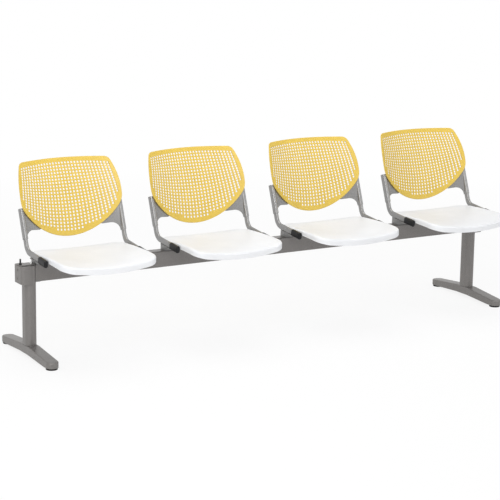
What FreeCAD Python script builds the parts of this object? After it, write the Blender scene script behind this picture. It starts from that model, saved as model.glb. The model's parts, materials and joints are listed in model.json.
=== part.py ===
import FreeCAD, Part
import math
import os
import Sketcher
from FreeCAD import Placement, Rotation, Vector

# Beam seating: four chairs with perforated backs on one beam carried by two T legs.
# Row frame: X along the bench, -Y towards the sitter's knees, +Z up, floor at Z = 0.

# Driving dimensions, in millimetres and degrees
SIZES = [
    ("chair_pitch", 610.0),
    ("beam_depth", 50.0), ("beam_height", 72.0), ("beam_wall", 3.0), ("beam_corner", 5.0),
    ("beam_underside", 324.0),
    ("post_axis", 1142.0), ("post_width", 50.0), ("post_depth", 70.0), ("post_corner", 24.0),
    ("post_wall", 3.0), ("post_floor", 12.0), ("post_plug", 12.0),
    ("saddle_reach", 42.0), ("saddle_lap", 18.0),
    ("clamp_reach", 50.0), ("clamp_lap", 8.0), ("clamp_depth", 90.0),
    ("clamp_corner", 18.0), ("clamp_drop", 3.0),
    ("leg_fit", 0.2), ("thread_fit", 0.1), ("thread_end", 2.0),
    ("bolt_shank", 8.0), ("bolt_head", 14.0), ("bolt_head_height", 6.0), ("clamp_bolt_rise", 18.0),
    ("cover_thick", 4.0), ("cover_depth", 46.0), ("cover_edge", 3.0), ("cover_corner", 6.0),
    ("cover_bolt", 10.0), ("cover_grip", 10.0), ("stud_rise", 24.0),
    ("foot_length", 510.0), ("foot_width", 54.0), ("foot_crown", 52.0), ("foot_tip", 33.0),
    ("foot_arch", 17.0), ("foot_flat", 90.0), ("foot_pad", 56.0), ("foot_edge", 5.0),
    ("foot_corner", 26.0), ("foot_bolt", 17.0),
    ("glide_disc", 50.0), ("glide_thick", 8.0), ("glide_stem", 10.0), ("glide_stem_length", 18.0),
    ("glide_inset", 29.0), ("glide_fit", 0.3),
    ("tube_axis", 228.0), ("tube_width", 14.0), ("tube_height", 26.0), ("tube_wall", 1.8),
    ("tube_corner", 6.5), ("tube_slope", 5.0), ("tube_bend", 45.0), ("tube_reach", 182.4),
    ("tube_top", 98.0), ("tube_stand", 27.0), ("corner_drop", 79.9),
    ("cap_length", 64.0), ("cap_cover", 52.0), ("cap_wall", 2.4), ("cap_fit", 0.2), ("cap_round", 5.0),
    ("strap_width", 26.0), ("strap_thick", 5.0), ("strap_front", 69.0), ("strap_rear", 125.0),
    ("bracket_place", 186.0), ("bracket_width", 36.0), ("bracket_steel", 4.0),
    ("bracket_front", 122.0), ("bracket_back", 22.0), ("bracket_bolt", 13.0), ("bracket_grip", 12.0),
    ("bracket_bolt_place", 178.0),
    ("seat_front", 355.0), ("seat_rear", 58.0), ("seat_width", 434.0), ("seat_level", 442.5),
    ("seat_wall", 4.5), ("seat_dish", 1680.0), ("seat_front_corner", 60.0),
    ("seat_rear_corner", 78.0), ("seat_front_bow", 1200.0), ("seat_rear_bow", 700.0),
    ("seat_roll", 9.0), ("boss_place", 110.0), ("boss_width", 20.0),
    ("screw_shank", 5.0), ("screw_head", 10.0), ("screw_head_height", 3.0), ("screw_grip", 6.0),
    ("back_recline", 20.5), ("back_curve", 500.0), ("back_bow", 965.0), ("back_bow_level", 160.0),
    ("back_level", 515.7), ("back_place", 62.6), ("back_panel", 4.5), ("back_rim", 7.0),
    ("back_rim_width", 15.0), ("back_edge", 2.0),
    ("outline_top", 313.0), ("outline_top_arc", 1164.0), ("outline_bottom_arc", 275.0),
    ("outline_foot", 26.5), ("outline_side_arc", 400.0), ("outline_half", 234.0),
    ("outline_widest", 145.0), ("outline_top_corner", 28.0), ("outline_low_corner", 78.0),
    ("hole_size", 8.6), ("row_pitch", 14.44), ("column_pitch", 14.16), ("column_growth", 0.114),
    ("row_arch", 0.000497), ("row_arch_growth", 0.0000788),
    ("fin_thick", 4.0), ("fin_gap", 0.3), ("fin_inner", 132.0), ("fin_heel", 16.0), ("fin_tip", 146.0),
    ("fin_edge", 9.0), ("fin_throat", 38.0), ("fin_throat_place", 180.0), ("fin_foot", 29.0),
    ("fin_outer", 226.0), ("fin_shoulder", 205.0), ("fin_top", 101.0), ("fin_neck", 90.0),
    ("fin_brow", 40.0), ("fin_cover", 13.0),
    ("sleeve_wall", 2.2), ("sleeve_top", 101.0), ("sleeve_fit", 0.1),
    ("inner_screw", 150.0), ("inner_screw_level", 28.0), ("outer_screw", 190.0), ("outer_screw_level", 60.0),
]

# Along each seat's centre line, from front to rear: place, height above the floor and the rim's depth
SEAT_LINE = [(-378, 428.5, 26), (-355, 434.0, 26), (-330, 438.9, 26), (-300, 442.5, 26),
             (-200, 445.5, 24), (-100, 442.5, 17), (0, 438.0, 13), (80, 437.4, 13)]

# Holes in each row of the back, top row first
ROW_HOLES = [30] * 13 + [28] * 3 + [26, 24, 22, 18, 8]
CHAIRS = (1, 2, 3, 4)
SIDES = (("left", -1), ("right", 1))

doc = FreeCAD.newDocument("BeamSeating")
sheet = doc.addObject("Spreadsheet::Sheet", "Sizes")
for line, (alias, number) in enumerate(SIZES, start=1):
    sheet.set("A%d" % line, alias)
    sheet.set("B%d" % line, repr(number))
    sheet.setAlias("B%d" % line, alias)
doc.recompute()


ALONG_X = Vector(1, 0, 0)
ALONG_Y = Vector(0, 1, 0)
ALONG_Z = Vector(0, 0, 1)


class Size:
    """A length that knows its number and the sheet expression it comes from."""

    def __init__(self, number, text):
        self.number = float(number)
        self.text = text

    @staticmethod
    def of(value):
        return value if isinstance(value, Size) else Size(value, repr(float(value)))

    def join(self, other, sign, number):
        return Size(number, "(%s %s %s)" % (self.text, sign, Size.of(other).text))

    def __add__(self, other):
        return self.join(other, "+", self.number + Size.of(other).number)

    def __sub__(self, other):
        return self.join(other, "-", self.number - Size.of(other).number)

    def __mul__(self, other):
        return self.join(other, "*", self.number * Size.of(other).number)

    def __truediv__(self, other):
        return self.join(other, "/", self.number / Size.of(other).number)

    def __neg__(self):
        return Size(-self.number, "(0 - %s)" % self.text)


def size(alias):
    return Size(float(sheet.get(alias)), "Sizes." + alias)


def mm(alias):
    return float(sheet.get(alias))


# Derived lengths shared by several pieces
beam_top = size("beam_underside") + size("beam_height")
beam_half = size("post_axis") - size("saddle_reach")
middle = (size("seat_front") - size("foot_length") / 2) / 2
glide_place = size("foot_length") / 2 - size("glide_inset")
foot_base = size("glide_thick") + size("glide_fit")


def chair_place(number):
    return size("chair_pitch") * (number - (len(CHAIRS) + 1) / 2)


def place(item, x=0.0, y=0.0, z=0.0):
    """Bind an object's position to the sheet."""
    item.setExpression("Placement.Base.x", Size.of(x).text)
    item.setExpression("Placement.Base.y", Size.of(y).text)
    item.setExpression("Placement.Base.z", Size.of(z).text)
    return item


def put(item, x=0.0, y=0.0, z=0.0):
    """Place a finished piece, with Y counted from the beam's own plane."""
    return place(item, x, Size.of(y) + middle, z)


def tilt(item, angle):
    """Turn an object about X by a bound angle."""
    item.Placement = Placement(Vector(), Rotation(ALONG_X, angle.number))
    item.setExpression("Placement.Rotation.Angle", angle.text)
    return item


def cosine(angle):
    angle = Size.of(angle)
    return Size(math.cos(math.radians(angle.number)), "cos(%s)" % angle.text)


def sine(angle):
    angle = Size.of(angle)
    return Size(math.sin(math.radians(angle.number)), "sin(%s)" % angle.text)


def tangent(angle):
    return sine(angle) / cosine(angle)


parts = []


def keep(item, label):
    item.Label = label
    parts.append(item)
    return item


# Sketch and feature helpers
def new_body(name):
    return doc.addObject("PartDesign::Body", name)


def plane_of(body, role):
    return [item for item in body.Origin.OriginFeatures if item.Role == role][0]


def new_sketch(body, role, name, lift=0.0):
    sketch = body.newObject("Sketcher::SketchObject", name)
    sketch.AttachmentSupport = (plane_of(body, role), "")
    sketch.MapMode = "FlatFace"
    sketch.setExpression("AttachmentOffset.Base.z", Size.of(lift).text)
    return sketch


def pin_point(sketch, edge, end, x, y):
    for kind, value in (("DistanceX", x), ("DistanceY", y)):
        value = Size.of(value)
        index = sketch.addConstraint(Sketcher.Constraint(kind, edge, end, value.number))
        sketch.setExpression("Constraints[%d]" % index, value.text)


def add_polygon(sketch, points):
    spots = [Vector(Size.of(x).number, Size.of(y).number, 0) for x, y in points]
    first = sketch.GeometryCount
    count = len(points)
    for place in range(count):
        line = Part.LineSegment(spots[place], spots[(place + 1) % count])
        sketch.addGeometry(line, False)
    for place in range(count):
        following = first + (place + 1) % count
        sketch.addConstraint(Sketcher.Constraint("Coincident", first + place, 2, following, 1))
    for place, (x, y) in enumerate(points):
        pin_point(sketch, first + place, 1, x, y)


def add_rectangle(sketch, x_low, x_high, y_low, y_high):
    add_polygon(sketch, [(x_low, y_low), (x_high, y_low), (x_high, y_high), (x_low, y_high)])


def add_arc(sketch, centre, radius, start, sweep):
    """Arc with a bound radius; its ends are pinned by the lines that meet it."""
    circle = Part.Circle(Vector(centre[0], centre[1], 0), Vector(0, 0, 1), radius.number)
    first = math.radians(start)
    edge = sketch.addGeometry(Part.ArcOfCircle(circle, first, first + math.radians(sweep)), False)
    index = sketch.addConstraint(Sketcher.Constraint("Radius", edge, radius.number))
    sketch.setExpression("Constraints[%d]" % index, radius.text)
    return edge


def add_rounded_rectangle(sketch, across, deep, corner):
    """Rectangle about the sketch's origin, given by its half sizes and corner radius."""
    near_x = across - corner
    near_y = deep - corner
    turns = [(1, 1, 0), (-1, 1, 90), (-1, -1, 180), (1, -1, 270)]
    arcs = []
    for sign_x, sign_y, start in turns:
        centre = (near_x.number * sign_x, near_y.number * sign_y)
        arcs.append(add_arc(sketch, centre, corner, start, 90))
    starts = [(across, near_y), (-near_x, deep), (-across, -near_y), (near_x, -deep)]
    ends = [(near_x, deep), (-across, near_y), (-near_x, -deep), (across, -near_y)]
    for turn in range(4):
        leave = ends[turn]
        reach = starts[(turn + 1) % 4]
        spots = [Vector(x.number, y.number, 0) for x, y in (leave, reach)]
        line = sketch.addGeometry(Part.LineSegment(spots[0], spots[1]), False)
        sketch.addConstraint(Sketcher.Constraint("Coincident", arcs[turn], 2, line, 1))
        sketch.addConstraint(Sketcher.Constraint("Coincident", line, 2, arcs[(turn + 1) % 4], 1))
        pin_point(sketch, line, 1, *leave)
        pin_point(sketch, line, 2, *reach)


def add_circle(sketch, x, y, radius):
    radius = Size.of(radius)
    spot = Vector(Size.of(x).number, Size.of(y).number, 0)
    edge = sketch.addGeometry(Part.Circle(spot, Vector(0, 0, 1), radius.number), False)
    pin_point(sketch, edge, 3, x, y)
    index = sketch.addConstraint(Sketcher.Constraint("Radius", edge, radius.number))
    sketch.setExpression("Constraints[%d]" % index, radius.text)


def grow(body, kind, sketch, length, reverse=False, both=False):
    """Pad or pocket a sketch by a bound length, one way or both ways."""
    feature = body.newObject("PartDesign::" + kind, kind)
    feature.Profile = sketch
    feature.Length = Size.of(length).number
    feature.setExpression("Length", Size.of(length).text)
    feature.Reversed = reverse
    feature.SideType = "Symmetric" if both else "One side"
    return feature


def round_edges(body, radius, wanted):
    """Fillet the edges of the body's last feature that the test picks out."""
    doc.recompute()
    base = body.Tip
    names = ["Edge%d" % (place + 1) for place, edge in enumerate(base.Shape.Edges) if wanted(edge)]
    fillet = body.newObject("PartDesign::Fillet", "Fillet")
    fillet.Base = (base, names)
    fillet.Radius = Size.of(radius).number
    fillet.setExpression("Radius", Size.of(radius).text)
    return fillet


def runs_along(edge, axis):
    """True for a straight edge parallel to the axis."""
    if len(edge.Vertexes) != 2 or edge.Curve.TypeId != "Part::GeomLine":
        return False
    return abs(edge.tangentAt(edge.FirstParameter).dot(axis)) > 0.999


# Beam: one rectangular steel tube with a bolt hole pair under each chair bracket
def bracket_bolt_places():
    """Distance of each bracket bolt from the bench's middle, clear of the bracket's web."""
    return [chair_place(number) + size("bracket_bolt_place") * side for number in CHAIRS for _, side in SIDES]


def make_beam():
    body = new_body("Beam")
    section = new_sketch(body, "YZ_Plane", "BeamSection")
    deep = size("beam_depth") / 2
    wall = size("beam_wall")
    add_rectangle(section, -deep, deep, size("beam_underside"), beam_top)
    grow(body, "Pad", section, beam_half * 2, both=True)
    round_edges(body, size("beam_corner"), lambda edge: runs_along(edge, ALONG_X))
    bore = new_sketch(body, "YZ_Plane", "BeamBore")
    add_rectangle(bore, wall - deep, deep - wall, size("beam_underside") + wall, beam_top - wall)
    grow(body, "Pocket", bore, beam_half * 2, both=True)
    holes = new_sketch(body, "XY_Plane", "BracketHoles", beam_top)
    for reach in bracket_bolt_places():
        for sign in (-1, 1):
            add_circle(holes, reach, size("bracket_bolt") * sign, size("bolt_shank") / 2 + size("thread_fit"))
    grow(body, "Pocket", holes, wall * 2)
    return keep(put(body), "beam_tube")


# Legs: rounded post, saddle on the beam's end, outer clamp, cover plate and arched foot
def post_section(body, name, lift, inset):
    sketch = new_sketch(body, "XY_Plane", name, lift)
    inset = Size.of(inset)
    add_rounded_rectangle(sketch, size("post_width") / 2 - inset, size("post_depth") / 2 - inset,
                          size("post_corner") - inset)
    return sketch


def clamp_bolt_levels():
    centre = size("beam_underside") + size("beam_height") / 2
    return [centre - size("clamp_bolt_rise"), centre + size("clamp_bolt_rise")]


def add_clamp_holes(body, fit):
    cross = new_sketch(body, "YZ_Plane", "ClampHoles")
    for level in clamp_bolt_levels():
        add_circle(cross, 0, level, size("bolt_shank") / 2 + fit)
    return grow(body, "Pocket", cross, size("clamp_reach") * 2, both=True)


def make_post(label, side):
    """Hollow post with a tapped plug welded into each end."""
    body = new_body("Post")
    grow(body, "Pad", post_section(body, "PostSection", size("foot_crown"), 0), beam_top - size("foot_crown"))
    bore_top = beam_top - size("post_plug")
    bore = post_section(body, "PostBore", bore_top, size("post_wall"))
    grow(body, "Pocket", bore, bore_top - size("foot_crown") - size("post_floor"))
    add_clamp_holes(body, size("leg_fit"))
    base = new_sketch(body, "XY_Plane", "FootHoles", size("foot_crown"))
    for sign in (-1, 1):
        add_circle(base, 0, size("foot_bolt") * sign, size("bolt_shank") / 2 + size("thread_fit"))
    grow(body, "Pocket", base, size("post_floor"), reverse=True)
    top = new_sketch(body, "XY_Plane", "CoverHole", beam_top)
    add_circle(top, size("cover_bolt") * -side, 0, size("bolt_shank") / 2 + size("thread_fit"))
    grow(body, "Pocket", top, size("post_plug"))
    return keep(put(body, size("post_axis") * side), "post_" + label)


def spread(side, near, far):
    """Low and high X limits of a block that reaches from one distance to another on a side."""
    return sorted([near * side, far * side], key=lambda end: end.number)


def make_saddle(label, side):
    """Inner clamp half, welded to the beam's end and tapped for the clamp bolts."""
    body = new_body("Saddle")
    sketch = new_sketch(body, "XY_Plane", "SaddlePlan", size("beam_underside"))
    low, high = spread(-side, size("saddle_lap"), size("saddle_reach"))
    deep = size("beam_depth") / 2
    add_rectangle(sketch, low, high, -deep, deep)
    grow(body, "Pad", sketch, size("beam_height"))
    seat = post_section(body, "PostSeat", beam_top, -size("leg_fit"))
    grow(body, "Pocket", seat, size("beam_height"))
    add_clamp_holes(body, size("thread_fit"))
    return keep(put(body, size("post_axis") * side), "beam_saddle_" + label)


def make_clamp(label, side):
    """Outer clamp half with rounded outer corners, drawn in by two bolts."""
    body = new_body("Clamp")
    base = size("beam_underside") - size("clamp_drop")
    sketch = new_sketch(body, "XY_Plane", "ClampPlan", base)
    low, high = spread(side, size("clamp_lap"), size("clamp_reach"))
    deep = size("clamp_depth") / 2
    add_rectangle(sketch, low, high, -deep, deep)
    grow(body, "Pad", sketch, beam_top - base)
    outer = mm("clamp_reach") - 0.01
    round_edges(body, size("clamp_corner"),
                lambda edge: runs_along(edge, ALONG_Z) and abs(edge.CenterOfMass.x) > outer)
    seat = post_section(body, "PostSeat", beam_top, -size("leg_fit"))
    grow(body, "Pocket", seat, size("beam_height") * 2)
    add_clamp_holes(body, size("leg_fit"))
    inset = size("clamp_reach") - size("bolt_head_height")
    sink = new_sketch(body, "YZ_Plane", "HeadRecess", inset * side)
    for level in clamp_bolt_levels():
        add_circle(sink, 0, level, size("bolt_head") / 2 + size("leg_fit"))
    grow(body, "Pocket", sink, size("bolt_head_height") * 2, reverse=side > 0)
    top = new_sketch(body, "XY_Plane", "StudHole", beam_top)
    add_circle(top, stud_place() * side, 0, size("bolt_shank") / 2 + size("thread_fit"))
    grow(body, "Pocket", top, size("cover_grip") + size("thread_end"))
    return keep(put(body, size("post_axis") * side), "post_clamp_" + label)


def stud_place():
    return (size("clamp_reach") + size("post_width") / 2) / 2


def make_cover(label, side):
    """Steel plate over the post and clamp, held by a short bolt and a stud."""
    body = new_body("Cover")
    sketch = new_sketch(body, "XY_Plane", "CoverPlan", beam_top)
    low = size("post_width") / 2 - size("cover_edge")
    high = size("clamp_reach") - size("cover_edge")
    low, high = sorted([low * -side, high * side], key=lambda end: end.number)
    add_rectangle(sketch, low, high, -size("cover_depth") / 2, size("cover_depth") / 2)
    grow(body, "Pad", sketch, size("cover_thick"))
    round_edges(body, size("cover_corner"), lambda edge: runs_along(edge, ALONG_Z))
    holes = new_sketch(body, "XY_Plane", "CoverHoles", beam_top + size("cover_thick"))
    for reach in (-size("cover_bolt"), stud_place()):
        add_circle(holes, reach * side, 0, size("bolt_shank") / 2 + size("leg_fit"))
    grow(body, "Pocket", holes, size("cover_thick"))
    return keep(put(body, size("post_axis") * side), "leg_cover_" + label)


def make_foot(label, side):
    """Arched cast foot, thickest under the post, with a hole for each glide's stem."""
    body = new_body("Foot")
    profile = new_sketch(body, "YZ_Plane", "FootProfile")
    end = size("foot_length") / 2
    pad = end - size("foot_pad")
    flat = size("foot_flat") / 2
    arch = size("foot_arch")
    crown = size("foot_crown")
    tip = size("foot_tip")
    add_polygon(profile, [(-end, foot_base), (-pad, foot_base), (-flat, arch), (flat, arch), (pad, foot_base),
                          (end, foot_base), (end, tip), (flat, crown), (-flat, crown), (-end, tip)])
    grow(body, "Pad", profile, size("foot_width"), both=True)
    beyond = end.number - 0.01
    round_edges(body, size("foot_corner"),
                lambda edge: runs_along(edge, ALONG_Z) and abs(edge.CenterOfMass.y) > beyond)
    round_edges(body, size("foot_edge"), on_foot_rim)
    stems = new_sketch(body, "XY_Plane", "GlideHoles", foot_base)
    for sign in (-1, 1):
        add_circle(stems, 0, glide_place * sign, size("glide_stem") / 2 + size("leg_fit"))
    grow(body, "Pocket", stems, size("glide_stem_length"), reverse=True)
    bolts = new_sketch(body, "XY_Plane", "FootBoltHoles", arch)
    for sign in (-1, 1):
        add_circle(bolts, 0, size("foot_bolt") * sign, size("bolt_shank") / 2 + size("leg_fit"))
    grow(body, "Pocket", bolts, crown - arch, reverse=True)
    return keep(put(body, size("post_axis") * side), "foot_" + label)


def on_foot_rim(edge):
    """Edges round the foot's top face."""
    along = runs_along(edge, ALONG_X) or runs_along(edge, ALONG_Z)
    return edge.CenterOfMass.z > mm("foot_tip") - 1 and not along


# Primitives bound to the sheet, for fasteners, glides and flat bars
def cylinder(name, radius, height, x, y, z, turn=None):
    item = doc.addObject("Part::Cylinder", name)
    item.setExpression("Radius", Size.of(radius).text)
    item.setExpression("Height", Size.of(height).text)
    if turn:
        item.Placement = Placement(Vector(), turn)
    return place(item, x, y, z)


def box(name, length, width, height, x, y, z):
    item = doc.addObject("Part::Box", name)
    item.setExpression("Length", Size.of(length).text)
    item.setExpression("Width", Size.of(width).text)
    item.setExpression("Height", Size.of(height).text)
    return place(item, x, y, z)


def fuse(name, items):
    joined = doc.addObject("Part::MultiFuse", name)
    joined.Shapes = items
    return joined


def group(name, items):
    together = doc.addObject("Part::Compound", name)
    together.Links = items
    return together


def cut(name, base, tools):
    difference = doc.addObject("Part::Cut", name)
    difference.Base = base
    difference.Tool = group(name + "Tools", tools)
    return difference


TO_X = Rotation(ALONG_Y, 90)
TO_MINUS_X = Rotation(ALONG_Y, -90)
TO_MINUS_Z = Rotation(ALONG_X, 180)


def make_clamp_bolts():
    bolts = []
    inset = size("clamp_reach") - size("bolt_head_height")
    length = inset + size("saddle_reach") - size("thread_end")
    for _, side in SIDES:
        inward, outward = (TO_MINUS_X, TO_X) if side > 0 else (TO_X, TO_MINUS_X)
        start = (size("post_axis") + inset) * side
        for level in clamp_bolt_levels():
            shank = cylinder("ClampShank", size("bolt_shank") / 2, length, start, 0, level, inward)
            head = cylinder("ClampHead", size("bolt_head") / 2, size("bolt_head_height"),
                            start, 0, level, outward)
            bolts.append(fuse("ClampBolt", [shank, head]))
    return keep(put(group("ClampBolts", bolts)), "clamp_bolts")


def make_cover_bolts():
    bolts = []
    top = beam_top + size("cover_thick")
    bottom = beam_top - size("cover_grip")
    rises = ((-size("cover_bolt"), size("bolt_head_height")), (stud_place(), size("stud_rise")))
    for _, side in SIDES:
        for reach, rise in rises:
            x = (size("post_axis") + reach) * side
            shank = cylinder("CoverShank", size("bolt_shank") / 2, top + rise - bottom, x, 0, bottom)
            head = cylinder("CoverHead", size("bolt_head") / 2, size("bolt_head_height"), x, 0, top)
            bolts.append(fuse("CoverBolt", [shank, head]))
    return keep(put(group("CoverBolts", bolts)), "cover_bolts")


def make_foot_bolts():
    bolts = []
    rise = size("foot_crown") - size("foot_arch") + size("post_floor") - size("thread_end")
    for _, side in SIDES:
        for sign in (-1, 1):
            spot = (size("post_axis") * side, size("foot_bolt") * sign)
            shank = cylinder("FootShank", size("bolt_shank") / 2, rise, spot[0], spot[1], size("foot_arch"))
            head = cylinder("FootHead", size("bolt_head") / 2, size("bolt_head_height"), spot[0], spot[1],
                            size("foot_arch") - size("bolt_head_height"))
            bolts.append(fuse("FootBolt", [shank, head]))
    return keep(put(group("FootBolts", bolts)), "foot_bolts")


def make_bracket_bolts():
    bolts = []
    top = beam_top + size("bracket_steel")
    for reach in bracket_bolt_places():
        for sign in (-1, 1):
            y = size("bracket_bolt") * sign
            shank = cylinder("BracketShank", size("bolt_shank") / 2, size("bracket_grip"), reach, y, top,
                             TO_MINUS_Z)
            head = cylinder("BracketHead", size("bolt_head") / 2, size("bolt_head_height"), reach, y, top)
            bolts.append(fuse("BracketBolt", [shank, head]))
    return keep(put(group("BracketBolts", bolts)), "bracket_bolts")


def make_glide(label, side, end, sign):
    """Levelling glide: a plastic disc on a stem that screws into the foot."""
    disc = cylinder("GlideDisc", size("glide_disc") / 2, size("glide_thick"), 0, 0, 0)
    stem = cylinder("GlideStem", size("glide_stem") / 2, size("glide_stem_length") + size("glide_thick"),
                    0, 0, 0)
    glide = fuse("Glide", [disc, stem])
    return keep(put(glide, size("post_axis") * side, glide_place * sign), "glide_%s_%s" % (end, label))


# Chair frame: bent flat-oval tubes with end caps, cross straps and beam brackets
# The tube's own axes start at its front end, with Y back along its front run
lean = size("back_recline")
slope = size("tube_slope")
turn = Size.of(90) - lean - slope
corner_y = size("back_place") - size("tube_stand") * cosine(lean) - size("corner_drop") * sine(lean)
corner_z = size("back_level") + size("tube_stand") * sine(lean) - size("corner_drop") * cosine(lean)
front_y = corner_y - size("tube_reach") * cosine(slope)
front_z = corner_z - size("tube_reach") * sine(slope)


def stand_at_tube(item, x):
    """Set a finished piece at the tubes' front ends, tilted with their front runs."""
    return put(tilt(item, slope), x, front_y, front_z)


def tube_section(body, name, spare, lift=0.0):
    sketch = new_sketch(body, "XZ_Plane", name, lift)
    spare = Size.of(spare)
    add_rounded_rectangle(sketch, size("tube_width") / 2 + spare, size("tube_height") / 2 + spare,
                          size("tube_corner") + spare)
    return sketch


def make_tube(number, label, side):
    body = new_body("Tube")
    spine = new_sketch(body, "YZ_Plane", "TubePath")
    run = size("tube_reach")
    rise = size("tube_top") + size("corner_drop")
    radius = size("tube_bend")
    bend = radius * tangent(turn / 2)
    spots = [(Size.of(0), Size.of(0)), (run - bend, Size.of(0)),
             (run + bend * cosine(turn), bend * sine(turn)), (run + rise * cosine(turn), rise * sine(turn))]
    points = [Vector(x.number, y.number, 0) for x, y in spots]
    low = spine.addGeometry(Part.LineSegment(points[0], points[1]), False)
    arc = add_arc(spine, (points[1].x, radius.number), radius, -90, turn.number)
    high = spine.addGeometry(Part.LineSegment(points[2], points[3]), False)
    spine.addConstraint(Sketcher.Constraint("Coincident", low, 2, arc, 1))
    spine.addConstraint(Sketcher.Constraint("Coincident", arc, 2, high, 1))
    for edge, end, spot in ((low, 1, 0), (low, 2, 1), (high, 1, 2), (high, 2, 3)):
        pin_point(spine, edge, end, *spots[spot])
    for kind, spare in (("Additive", Size.of(0)), ("Subtractive", -size("tube_wall"))):
        pipe = body.newObject("PartDesign::%sPipe" % kind, kind + "Pipe")
        pipe.Profile = tube_section(body, "TubeSection", spare)
        pipe.Spine = (spine, [])
    x = chair_place(number) + size("tube_axis") * side
    return keep(stand_at_tube(body, x), "side_tube_%s_%d" % (label, number))


def make_cap(side):
    """Moulded cap over the tube's front end, closed and rounded at its nose."""
    body = new_body("Cap")
    nose = size("cap_length") - size("cap_cover")
    grow(body, "Pad", tube_section(body, "CapSection", size("cap_fit") + size("cap_wall"), nose),
         size("cap_length"), reverse=True)
    front = -nose.number + 0.01
    round_edges(body, size("cap_round"), lambda edge: edge.CenterOfMass.y < front)
    mouth = tube_section(body, "CapMouth", size("cap_fit"), size("cap_fit"))
    grow(body, "Pocket", mouth, size("cap_length"))
    return place(body, size("tube_axis") * side)


def make_caps(number):
    caps = group("Caps", [make_cap(side) for _, side in SIDES])
    return keep(stand_at_tube(caps, chair_place(number)), "tube_end_caps_%d" % number)


def make_straps(number):
    """Two flat bars welded across under the side tubes, drilled for the seat screws."""
    bars = []
    span = size("tube_axis") * 2 + size("tube_width")
    under = -size("tube_height") / 2 - size("strap_thick")
    for reach in (size("strap_front"), size("strap_rear")):
        bar = box("StrapBar", span, size("strap_width"), size("strap_thick"),
                  -span / 2, reach - size("strap_width") / 2, under)
        holes = [cylinder("StrapHole", size("screw_shank") / 2 + size("leg_fit"), size("strap_thick") * 2,
                          size("boss_place") * side, reach, under - size("strap_thick") / 2)
                 for _, side in SIDES]
        bars.append(cut("Strap", bar, holes))
    return keep(stand_at_tube(group("Straps", bars), chair_place(number)), "cross_straps_%d" % number)


def make_seat_screws():
    screws = []
    under = -size("tube_height") / 2 - size("strap_thick")
    for number in CHAIRS:
        for _, side in SIDES:
            for reach in (size("strap_front"), size("strap_rear")):
                x = chair_place(number) + size("boss_place") * side
                shank = cylinder("SeatShank", size("screw_shank") / 2, size("strap_thick") + size("screw_grip"),
                                 x, reach, under)
                head = cylinder("SeatHead", size("screw_head") / 2, size("screw_head_height"),
                                x, reach, under, TO_MINUS_Z)
                screws.append(fuse("SeatScrew", [shank, head]))
    return keep(stand_at_tube(group("SeatScrews", screws), 0), "seat_screws")


def strap_underside(y):
    """Height of the straps' underside at a distance from the beam's plane."""
    below = (size("tube_height") / 2 + size("strap_thick")) / cosine(slope)
    return corner_z + (Size.of(y) - corner_y) * tangent(slope) - below


def make_bracket(side):
    """Beam bracket: foot flange, upright web at its outer edge and a top flange under the straps."""
    body = new_body("Bracket")
    steel = size("bracket_steel")
    wide = size("bracket_width")
    deep = size("beam_depth") / 2
    front = -size("bracket_front")
    back = size("bracket_back")
    foot = new_sketch(body, "XY_Plane", "BracketFoot", beam_top)
    add_rectangle(foot, -wide / 2, wide / 2, -deep, deep)
    grow(body, "Pad", foot, steel)
    top = new_sketch(body, "YZ_Plane", "BracketTop")
    add_polygon(top, [(front, strap_underside(front) - steel), (back, strap_underside(back) - steel),
                      (back, strap_underside(back)), (front, strap_underside(front))])
    grow(body, "Pad", top, wide, both=True)
    web = new_sketch(body, "YZ_Plane", "BracketWeb", (wide - steel) / 2 * side)
    add_polygon(web, [(-deep, beam_top), (deep, beam_top), (back, strap_underside(back) - steel / 2),
                      (front, strap_underside(front) - steel / 2)])
    grow(body, "Pad", web, steel, both=True)
    holes = new_sketch(body, "XY_Plane", "BracketBoltHoles", beam_top + steel)
    for sign in (-1, 1):
        add_circle(holes, (size("bracket_bolt_place") - size("bracket_place")) * side,
                   size("bracket_bolt") * sign, size("bolt_shank") / 2 + size("leg_fit"))
    grow(body, "Pocket", holes, steel)
    return place(body, size("bracket_place") * side)


def make_brackets(number):
    pair = group("Brackets", [make_bracket(side) for _, side in SIDES])
    return keep(put(pair, chair_place(number)), "beam_brackets_%d" % number)


# Moulded shells, drawn as surfaces of revolution trimmed by an outline
# Length of the blocks that trim the shells, the arcs they are turned through and their least wide face
BLOCK = 600.0
SEAT_TURN = 18
BACK_TURN = 68
WIDE_FACE = 50000


def spin(wire, centre, axis, angle):
    """Solid made by turning a closed flat wire through an angle, half to each side."""
    face = Part.Face(wire)
    face.rotate(centre, axis, -angle / 2)
    return face.revolve(centre, axis, angle)


def ring_between(near, far):
    """Closed wire from two open edges that run the same way."""
    first, second = near.Vertexes[0].Point, near.Vertexes[-1].Point
    third, fourth = far.Vertexes[-1].Point, far.Vertexes[0].Point
    joins = [Part.LineSegment(second, third).toShape(), Part.LineSegment(fourth, first).toShape()]
    return Part.Wire(Part.__sortEdges__([near, far] + joins))


def seat_edge(drop, rim_share=0.0):
    """Line along the seat's middle, a drop under its top face, with a share of the rim's depth added."""
    curve = Part.BSplineCurve()
    curve.interpolate([Vector(0, y, z - drop - rim * rim_share) for y, z, rim in SEAT_LINE])
    return curve.toShape()


def seat_slab(near, far):
    """Slice of the dished seat between two lines along its middle."""
    centre = Vector(0, 0, mm("seat_level") + mm("seat_dish"))
    return spin(ring_between(near, far), centre, ALONG_Y, SEAT_TURN)


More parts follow.
